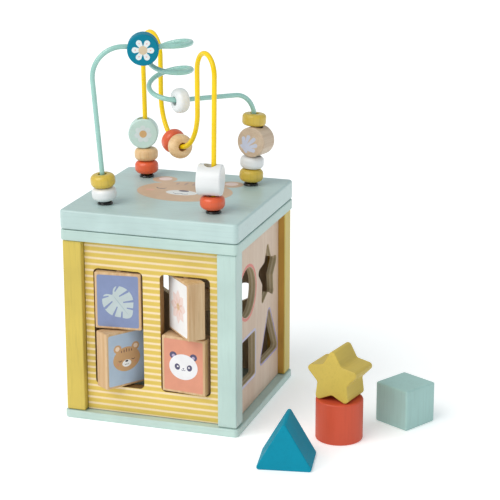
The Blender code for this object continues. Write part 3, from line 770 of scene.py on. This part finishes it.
def build_hole_rings():
    """Printed outlines round three of the holes, which start a little outside the rounded edge."""
    gap = 0.45 * MM
    face = panel_frame("right_panel") @ Matrix.Translation((0, 0, size("right_panel").x / 2))
    tones = (("ring_coral", (222, 130, 118)), None, ("ring_lilac", (200, 196, 222)),
             ("ring_violet", (150, 142, 200)))
    for (inner, outer), tone in zip(sorter_holes(), tones):
        if outer:
            name, colour = tone
            centre = Vector([sum(p[i] for p in inner) / len(inner) for i in (0, 1)])
            lifted = [Vector(p) + gap * (Vector(p) - centre).normalized() for p in inner]
            work = Print()
            work.ring(outer, lifted, 1.5, ink(name, srgb(*colour)))
            work.place("print_" + name, face, "box")


def build_axles():
    for node in ("axle_left", "axle_right"):
        axle = begin(node, rod_mesh(size(node).x / 2, size(node).z))
        round_edges(axle, 0.4 * MM, 2)
        complete(axle, node, "axle_wood")


def build_slider():
    """Knob with a domed head on a neck through the slot, and the washer behind it."""
    at, top = middle("slider_knob"), size("slider_knob").y
    at.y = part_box("slider_knob")[0].y
    face, neck, dome, rim = 7 * MM, 6.2 * MM, 3.5 * MM, 1.4 * MM
    profile = [(0, top)]
    profile += [(7.5 * MM + dome * s, top - dome + dome * c) for s, c in quarter(8)]
    profile += [(9.6 * MM + rim * c, face + rim - rim * s) for s, c in quarter(6)[1:]]
    profile += [(neck, face), (neck, 0), (0, 0)]
    knob = begin("slider_knob", turned_mesh(profile, 64), local_frame((1, 0, 0), (0, 0, -1), at))
    complete(knob, "slider_knob", "coral")
    node = "slider_washer"
    washer = begin(node, rod_mesh(size(node).x / 2, size(node).y, 64),
                   local_frame((1, 0, 0), (0, 0, -1), middle(node)))
    round_edges(washer, 0.8 * MM, 4)
    complete(washer, node, "wood")


# ---------------- tiles and their pictures

def print_faces(node, place, thickness, draw, roll=0):
    """Prints the front and back of a plate in its frame; roll turns the picture upright."""
    for face, flip in (("front", 0), ("back", 180)):
        side = place @ turn(flip, "Y") @ Matrix.Translation((0, 0, thickness / 2)) @ turn(roll, "Z")
        work = Print()
        draw(work)
        work.place(f"print_{node}_{face}", side, BODY[node])


def leaf_picture(work, inks):
    """Broad split leaf: a heart-shaped blade pointing down to the right, slit from its edges."""
    lean = -51
    blade = []
    for i in range(90):
        angle = 360 * i / 90
        off = radians(180 - abs(angle - 180))
        tip, notch = exp(-(off / 0.38) ** 2), exp(-((pi - off) / 0.34) ** 2)
        blade.append(polar((13.0 + 3.6 * tip - 6.0 * notch) * MM, angle + lean))
    work.layer(blade, 2, inks["leaf"])
    for side in (-1, 1):
        for root, angle, length in ((6.0, 44, 9), (1.5, 62, 10), (-3.0, 84, 9.5), (-6.5, 112, 8.5)):
            at = posed([polar(3.6 * MM, side * angle, (root * MM, 0))], lean)[0]
            work.layer(finger(length * MM, 2.1 * MM, lean + side * angle, 0, at), 3, inks["leaf_ground"])
    work.layer(petal(22 * MM, 0.7 * MM, -8 * MM, lean), 3, inks["leaf_rib"])


def head_outline(half_width, half_height, drop=0.0, fullness=0.0, steps=48):
    """Broad face, in millimetres; fullness widens it at the height of its cheeks."""
    outline = []
    for i in range(steps):
        a = 2 * pi * i / steps
        reach = half_width * cos(a) * (1 + fullness * cos(2 * a))
        outline.append((reach * MM, (half_height * sin(a) - drop) * MM))
    return outline


def bear_picture(work, inks):
    """Round animal face with small ears, a pale muzzle and closed eyes."""
    for side in (-1, 1):
        work.dot(7.4, 7.0, (side * 8.6, 9.2), 2, inks["fur"])
        work.dot(4.0, 3.8, (side * 8.7, 9.4), 3, inks["inner_ear"])
    work.layer(head_outline(12.6, 10.4, 0.5, 0.03), 2.5, inks["fur"])
    for x in (-4.8, -2.4, 0, 2.4, 4.8):
        work.dot(0.9, 3.4 - 0.25 * abs(x), (x, 7.0 - 0.12 * abs(x)), 3, inks["mark"])
    work.dot(8.6, 6.0, (0, -4.2), 3, inks["muzzle"])
    work.dot(2.8, 1.6, (0, -2.3), 4, inks["dark"])
    for side in (-1, 1):
        work.stroke(1.7, 200, 340, 0.55, (side * 6.2, -0.2), 3, inks["dark"])
        work.stroke(1.1, 200, 340, 0.4, (side, -4.2), 4, inks["dark"])
        work.dot(2.6, 1.7, (side * 8.4, -4.0), 3, inks["blush"])


def flower_picture(work, inks):
    """Open blossom with eight pointed petals."""
    for i in range(8):
        blade = petal(12.2 * MM, 8.2 * MM, 2.0 * MM, 45 * i, point=0.85)
        work.layer(blade, 2 + (i % 2) * 0.5, inks["blossom"])
    for i in range(8):
        work.layer(petal(6.4 * MM, 1.8 * MM, 2.4 * MM, 45 * i + 22.5, point=0.85), 3, inks["blossom_deep"])
    work.layer(circle(3.0 * MM, 24), 3.5, inks["pollen"])
    for i in range(7):
        work.dot(0.9, 0.9, polar(1.7, 360 * i / 7), 4, inks["pollen_deep"], steps=10)


def panda_picture(work, inks):
    """Round white bear face with dark ears and eye patches."""
    for side in (-1, 1):
        work.dot(6.4, 6.0, (side * 9.0, 8.2), 2, inks["slate"])
        work.dot(2.8, 2.6, (side * 8.8, 7.8), 2.6, inks["lilac"])
    work.layer(head_outline(12.6, 10.8, 1.0), 3, inks["snow"])
    for side in (-1, 1):
        work.dot(4.6, 5.4, (side * 5.4, -1.2), 4, inks["slate"], side * -18)
        work.dot(1.5, 1.5, (side * 5.0, -0.9), 5, inks["snow"])
        work.stroke(0.9, 190, 350, 0.45, (side * 0.9, -2.9), 4, inks["slate"])
    work.dot(1.5, 1.0, (0, -2.3), 4, inks["slate"])


PICTURES = {
    "tile_leaf": ((128, 140, 176), leaf_picture),
    "tile_bear": ((176, 194, 214), bear_picture),
    "tile_flower": ((238, 236, 236), flower_picture),
    "tile_panda": ((214, 145, 119), panda_picture),
}


def picture_inks():
    tones = {"leaf": (184, 195, 196), "leaf_rib": (160, 178, 184), "fur": (206, 162, 116),
             "inner_ear": (240, 214, 190), "mark": (122, 92, 78), "muzzle": (246, 244, 240),
             "dark": (60, 46, 54), "blush": (214, 150, 118), "blossom": (234, 212, 206),
             "blossom_deep": (228, 192, 180), "pollen": (220, 188, 152), "pollen_deep": (204, 160, 122),
             "slate": (84, 80, 108), "lilac": (176, 160, 186), "snow": (228, 226, 228),
             "leaf_ground": (128, 140, 176)}
    return {name: ink("ink_" + name, srgb(*tone)) for name, tone in tones.items()}


def build_tiles():
    inks = picture_inks()
    margin = 4 * MM
    for node, (ground, picture) in PICTURES.items():
        place = upright(node) @ turn(TILE_ANGLES[node], "Z")
        tile = begin(node, box_mesh(TILE), place)
        round_edges(tile, 1.0 * MM, 4)
        cut(tile, rod_mesh(AXLE_HOLE_R, TILE[2] + 4 * MM, 40), place)
        complete(tile, node, "tile_wood")
        paper = ink("ink_" + node, srgb(*ground))

        def draw(work):
            work.layer(rounded(rectangle(TILE[0] - margin, TILE[2] - margin), 1.6 * MM), 1, paper)
            picture(work, inks)

        print_faces(node, place @ turn(90, "X"), TILE[1], draw)


# ---------------- lid and bead maze

def build_lid():
    complete(plate("lid_board", 2 * MM, 5), "lid_board", "lid")
    board = begin("lid_insert", box_mesh(size("lid_insert")))
    round_edges(board, 1.5 * MM)
    complete(board, "lid_insert", "inner_wood")
    tones = {"fur": (208, 178, 150), "inner_ear": (236, 214, 208), "mark": (186, 160, 148),
             "muzzle": (228, 230, 228), "dark": (100, 96, 112), "blush": (222, 176, 158)}
    work = Print()
    face_picture(work, {name: ink("lid_ink_" + name, srgb(*tone), "X") for name, tone in tones.items()})
    work.place("print_lid", Matrix.Translation((1.3 * MM, 9 * MM, LID_TOP)), "lid")


def face_picture(work, inks):
    """Broad sleepy animal face for the lid."""
    for side in (-1, 1):
        work.dot(21, 20, (side * 29.5, 32.5), 1, inks["fur"])
        work.dot(11.5, 10.5, (side * 29.5, 34), 2, inks["inner_ear"])
    work.layer(head_outline(39.8, 31.5, 0, 0.02, 64), 1.5, inks["fur"])
    for x, y, tall in ((-14, 22, 7), (-7, 23.5, 9), (0, 24, 10), (7, 23.5, 9), (14, 22, 7)):
        work.dot(2.4, tall, (x, y), 2.2, inks["mark"])
    work.dot(27, 15, (-1, -5), 2.2, inks["muzzle"])
    work.dot(9, 4.4, (-1, 0.5), 3, inks["dark"])
    for side in (-1, 1):
        work.stroke(4.6, 200, 340, 1.3, (side * 22.5, 7.5), 2.4, inks["dark"])
        work.stroke(3.4, 200, 340, 0.9, (side * 3.2 - 1, -5.5), 3, inks["dark"])
        work.dot(8, 5, (side * 29.5, -3), 2.2, inks["blush"])


def above_lid(plane, distance, height):
    """Point in the upright plane of a wire, across one diagonal of the lid."""
    step = distance / sqrt(2)
    return Vector((step, -step if plane == "yellow" else step, LID_TOP + height))


def arc_points(centre, radius, start, end, steps):
    return [polar(radius, start + (end - start) * i / steps, centre) for i in range(steps + 1)]


def tangent(wire, side):
    """How far a leg moves out per height."""
    return tan(radians(LEANS[wire, side]))


def yellow_route():
    """Two arches with a valley between them, on leaning legs."""
    left = arc_points((-52.2 * MM, 108 * MM), 18 * MM, 180 + LEANS["yellow", -1], 0, 40)
    valley = arc_points((1.0 * MM, 76 * MM), 35.2 * MM, 180, 360, 60)
    right = arc_points((51.8 * MM, 109.5 * MM), 15.6 * MM, 180, -LEANS["yellow", 1], 40)
    first = (left[0][0] + tangent("yellow", -1) * (left[0][1] + SEAT), -SEAT)
    last = (right[-1][0] - tangent("yellow", 1) * (right[-1][1] + SEAT), -SEAT)
    return [above_lid("yellow", *p) for p in (first, *left, *valley, *right, last)]


def bend(before, corner, after, radius, steps=24):
    """Arc that rounds the corner between two straight runs."""
    back = (before - corner).normalized()
    ahead = (after - corner).normalized()
    half = back.angle(ahead) / 2
    centre = corner + (back + ahead).normalized() * (radius / sin(half))
    start = corner + back * (radius / tan(half)) - centre
    axis, sweep = back.cross(ahead), 2 * half - pi
    return [centre + Matrix.Rotation(sweep * k / steps, 3, axis) @ start for k in range(steps + 1)]


def coil_point(angle):
    """Point on the coil, which falls by its pitch each turn and is a little tilted."""
    height = COIL_TOP - COIL_PITCH * angle / 360 + COIL_TILT * sin(radians(angle))
    return Vector((*polar(COIL_R, angle, COIL_AT), LID_TOP + min(height, COIL_TOP)))


def tangent_angle(corner, side):
    """Angle on the coil at which the straight run from or to a corner touches it."""
    towards = Vector(COIL_AT) - corner.xy if side == "in" else corner.xy - Vector(COIL_AT)
    heading = degrees(atan2(towards.y, towards.x))
    swing = degrees(asin(COIL_R / towards.length))
    return heading - 90 - swing if side == "in" else heading - 90 + swing


def green_corners():
    """Where the green wire's legs would meet its runs to the coil, before the bends."""
    foot = FOOT * sqrt(2)
    left = above_lid("green", -foot - tangent("green", -1) * ARCH_HEIGHT, ARCH_HEIGHT)
    right = above_lid("green", foot + tangent("green", 1) * SHOULDER_HEIGHT, SHOULDER_HEIGHT)
    return left, right


def green_route():
    foot = FOOT * sqrt(2)
    left, right = green_corners()
    first = above_lid("green", -foot + tangent("green", -1) * SEAT, -SEAT)
    last = above_lid("green", foot - tangent("green", 1) * SEAT, -SEAT)
    start = tangent_angle(left, "in")
    end = tangent_angle(right, "out") + 720
    coil = [coil_point(start + (end - start) * i / 168) for i in range(169)]
    return [first, *bend(first, left, coil[0], 24 * MM), *coil, *bend(coil[-1], right, last, 22 * MM), last]


def build_wire(node, route, look):
    curve = bpy.data.curves.new("wire", "CURVE")
    curve.dimensions = "3D"
    curve.bevel_depth = WIRE_D / 2
    curve.bevel_resolution = 6
    curve.use_fill_caps = True
    spline = curve.splines.new("POLY")
    spline.points.add(len(route) - 1)
    for point, at in zip(spline.points, route):
        point.co = (*at, 1)
    wire = settle(new_object("look_" + node, curve), 60)
    dress(wire, LOOKS[look])
    show(wire, node)


def build_caps():
    """Domed collars at the wires' feet."""
    inner, flat, foot = 2.9 * MM, 4.1 * MM, 0.55 * MM
    for name in CORNERS:
        node = "cap_" + name
        outer, tall = size(node).x / 2, size(node).z
        profile = [(inner, tall - 0.2 * MM), (3.1 * MM, tall), (flat, tall)]
        profile += [(flat + (outer - 4.3 * MM) * s, foot + (tall - foot) * c) for s, c in quarter(6)[1:]]
        profile += [(outer, 0.4 * MM), (outer, 0.05 * MM), (outer - 0.1 * MM, 0), (inner, 0)]
        complete(begin(node, turned_mesh(profile, 48, True), standing(node)), node, "black", 50)


def bead_profile(height, rounding):
    outer, top, lip = BEAD_D / 2, height / 2, 0.5 * MM
    upper = [(outer - rounding + rounding * s, top - rounding + rounding * c) for s, c in quarter(10)]
    hole = BEAD_HOLE / 2
    mouth = [(hole, top - lip), (hole + lip * 0.3, top - lip * 0.3), (hole + lip, top)]
    half = mouth + upper
    return half + [(x, -z) for x, z in reversed(half)]


def direction(wire, side):
    """Unit vector up a leg."""
    reach = (NEAR_FOOT if (wire, side) == ("yellow", 1) else FOOT) * sqrt(2)
    foot = above_lid(wire, side * reach, 0)
    top = above_lid(wire, side * (reach + tangent(wire, side) * 0.1), 0.1)
    return (top - foot).normalized()


def build_bead(name, look, axis, height=10.8 * MM, rounding=4.2 * MM):
    node = "bead_" + name
    lean = Vector((0, 0, 1)).rotation_difference(Vector(axis)).to_matrix().to_4x4()
    bead = begin(node, turned_mesh(bead_profile(height, rounding), 64, True), upright(node) @ lean)
    complete(bead, node, look, 50)


def build_disc(name, look, axis, facing_angle, thickness, skew=0.0):
    """Disc threaded through its diameter; returns its node, frame and thickness for the prints."""
    node = "bead_" + name
    axis = Vector(axis).normalized()
    heading = radians(facing_angle)
    across = axis.cross(Vector((sin(heading), -cos(heading), 0))).normalized()
    axes = Matrix((across, axis, across.cross(axis))).transposed().to_4x4()
    place = upright(node) @ axes @ Matrix.Rotation(radians(skew), 4, axes.inverted() @ Vector((0, 0, 1)))
    disc = begin(node, rod_mesh(DISC_D / 2, thickness, 72), place)
    round_edges(disc, 1.2 * MM, 4)
    cut(disc, rod_mesh(DISC_HOLE / 2, DISC_D + 6 * MM, 40), place @ turn(90, "X"))
    round_edges(disc, 0.7 * MM, 3, 50)
    complete(disc, node, look)
    return node, place, thickness


def daisy(petals, reach, width, petal_ink, centre_ink, core, dot_ink=None):
    """Flower in millimetres, with a dot on each petal if there is an ink for it."""
    def draw(work):
        for i in range(petals):
            angle = 90 + 360 * i / petals
            work.layer(finger(reach * MM, width * MM, angle, 1 * MM), 1 + (i % 2) * 0.4, petal_ink)
            if dot_ink:
                work.dot(1.0, 1.0, polar(6.0, angle), 2, dot_ink, steps=12)
        work.layer(circle(core * MM, 28), 2.5, centre_ink)
    return draw


def sprig(work_ink):
    """Fan of rounded leaflets from one corner, with two small ones at its foot."""
    def draw(work):
        root = (-6.4 * MM, -6.2 * MM)
        for i, (angle, reach) in enumerate(((92, 10.5), (68, 13.0), (44, 14.6), (20, 13.6), (-2, 11.0))):
            work.layer(finger(reach * MM, 3.4 * MM, angle, 1 * MM, root), 1 + (i % 2) * 0.4, work_ink)
        for angle in (128, -38):
            work.layer(finger(4.4 * MM, 2.4 * MM, angle, 0, root), 1.6, work_ink)
    return draw


def build_beads():
    up = {"front_left": direction("green", -1), "back_right": direction("green", 1),
          "back_left": direction("yellow", -1), "front_right": direction("yellow", 1)}
    for leg, bead, look in (("front_left", "white", "white"), ("front_left", "ochre", "ochre"),
                            ("back_left", "coral", "coral"), ("back_left", "birch", "wood"),
                            ("front_right", "coral", "coral"), ("back_right", "ochre", "ochre"),
                            ("back_right", "white", "white")):
        build_bead(f"{leg}_{bead}", look, up[leg])
    build_bead("back_right_crown", "ochre", up["back_right"], 10 * MM, 3 * MM)
    for name, look, angle in (("valley_coral", "coral", -18.5), ("valley_birch", "wood", 2.5)):
        build_bead(name, look, above_lid("yellow", *polar(1, angle)) - above_lid("yellow", 0, 0))
    ahead = coil_point(683) - coil_point(673)
    ahead.z = 0
    build_bead("coil_white", "white", ahead)

    build_disc("front_right_drum", "white", up["front_right"], 98, THICK_DISC_T)
    mint = build_disc("back_left_disc", "mint_disc", up["back_left"], 18, DISC_T)
    wood = build_disc("back_right_disc", "wood_disc", up["back_right"], -10, THICK_DISC_T)
    left, _ = green_corners()
    run = coil_point(tangent_angle(left, "in")) - left
    blue = build_disc("arch_disc", "blue", run, degrees(atan2(run.y, run.x)), DISC_T, -9.5)

    white = ink("ink_petal", srgb(226, 232, 232))
    faint = ink("ink_faint_petal", srgb(216, 226, 226))
    beige = ink("ink_centre", srgb(212, 192, 162))
    buff = ink("ink_tan", srgb(214, 172, 120))
    pink = ink("ink_dot", srgb(232, 150, 150))
    pale = ink("ink_sprig", srgb(200, 204, 222))
    print_faces(*mint, daisy(7, 7.4, 4.6, faint, buff, 3.1))
    print_faces(*wood, sprig(pale))
    print_faces(*blue, daisy(6, 8.8, 4.7, white, beige, 3.5, pink), -60)


# ---------------- blocks

def lying(node, outline, depth, heading, drop):
    """Block on its side: its outline stands upright and its depth runs along a heading in degrees."""
    at = middle(node)
    at.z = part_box(node)[0].z + drop
    angle = radians(heading)
    across = Vector((sin(angle), -cos(angle), 0))
    return begin(node, slab_mesh(outline, depth), local_frame(across, (0, 0, 1), at))


def build_blocks():
    node = "block_cube"
    cube = begin(node, box_mesh([size(node).z] * 3), upright(node) @ turn(CUBE_TURN, "Z"))
    round_edges(cube, 1.6 * MM, 5)
    complete(cube, node, "mint_block")

    node = "block_cylinder"
    drum = begin(node, rod_mesh(size(node).x / 2, size(node).z, 96))
    round_edges(drum, 1.2 * MM, 5)
    complete(drum, node, "coral_block")

    prism = lying("block_triangle", triangle_outline(0, 2 * MM), TRIANGLE_DEPTH, PRISM_HEADING,
                  TRIANGLE_SIDE / (2 * sqrt(3)))
    round_edges(prism, 1.0 * MM, 4, 50)
    complete(prism, "block_triangle", "teal")

    outline = star_outline()
    star = lying("block_star", outline, STAR_DEPTH, STAR_HEADING, -min(y for _, y in outline))
    round_edges(star, 0.9 * MM, 4, 50)
    complete(star, "block_star", "ochre_block")


# ---------------- stage

def build_stage():
    """Pale floor, soft light from the front left and above, and the camera."""
    floor = new_object("floor", slab_mesh(rectangle(14, 14), 0.01), Matrix.Translation((0, 0, -0.005)))
    look = Look("floor")
    cloud = look.noise(2.0, detail=2.0)
    look.set(Base_Color=look.mix(cloud, (0.95, 0.95, 0.95), (0.97, 0.97, 0.97)), Roughness=0.85)
    look.set(Specular_IOR_Level=0.1, Emission_Color=(1.0, 1.0, 1.0), Emission_Strength=0.25)
    dress(floor, look.material)

    world = bpy.data.worlds.new("studio")
    bpy.context.scene.world = world
    world.use_nodes = True
    sky = world.node_tree.nodes["Background"].inputs
    sky["Color"].default_value = (0.91, 0.99, 1.03, 1)
    sky["Strength"].default_value = 0.58

    light = bpy.data.lights.new("key", "SUN")
    light.energy = 1.78
    light.angle = radians(50)
    light.color = (1.0, 0.97, 0.93)
    lamp = new_object("key", light)
    lamp.rotation_mode = "QUATERNION"
    lamp.rotation_quaternion = Vector((0.62, 0.95, -1.15)).to_track_quat("-Z", "Y")

    camera = bpy.data.cameras.new("camera")
    camera.lens = CAMERA_LENS
    camera.sensor_width = 36
    camera.clip_start, camera.clip_end = 0.05, 50
    view = new_object("camera", camera)
    view.rotation_mode = "QUATERNION"
    view.location = CAMERA_AT
    aim = (CAMERA_TARGET - CAMERA_AT).to_track_quat("-Z", "Y").to_matrix()
    view.rotation_quaternion = (aim @ Matrix.Rotation(radians(CAMERA_ROLL), 3, "Z")).to_quaternion()
    bpy.context.scene.camera = view
    bpy.context.scene.view_settings.view_transform = "Standard"


def main():
    make_looks()
    build_base()
    build_screws()
    build_frame_pieces()
    build_panels()
    build_hole_rings()
    build_axles()
    build_slider()
    build_tiles()
    build_lid()
    build_wire("wire_yellow", yellow_route(), "yellow")
    build_wire("wire_green", green_route(), "green")
    build_caps()
    build_beads()
    build_blocks()
    build_stage()


main()
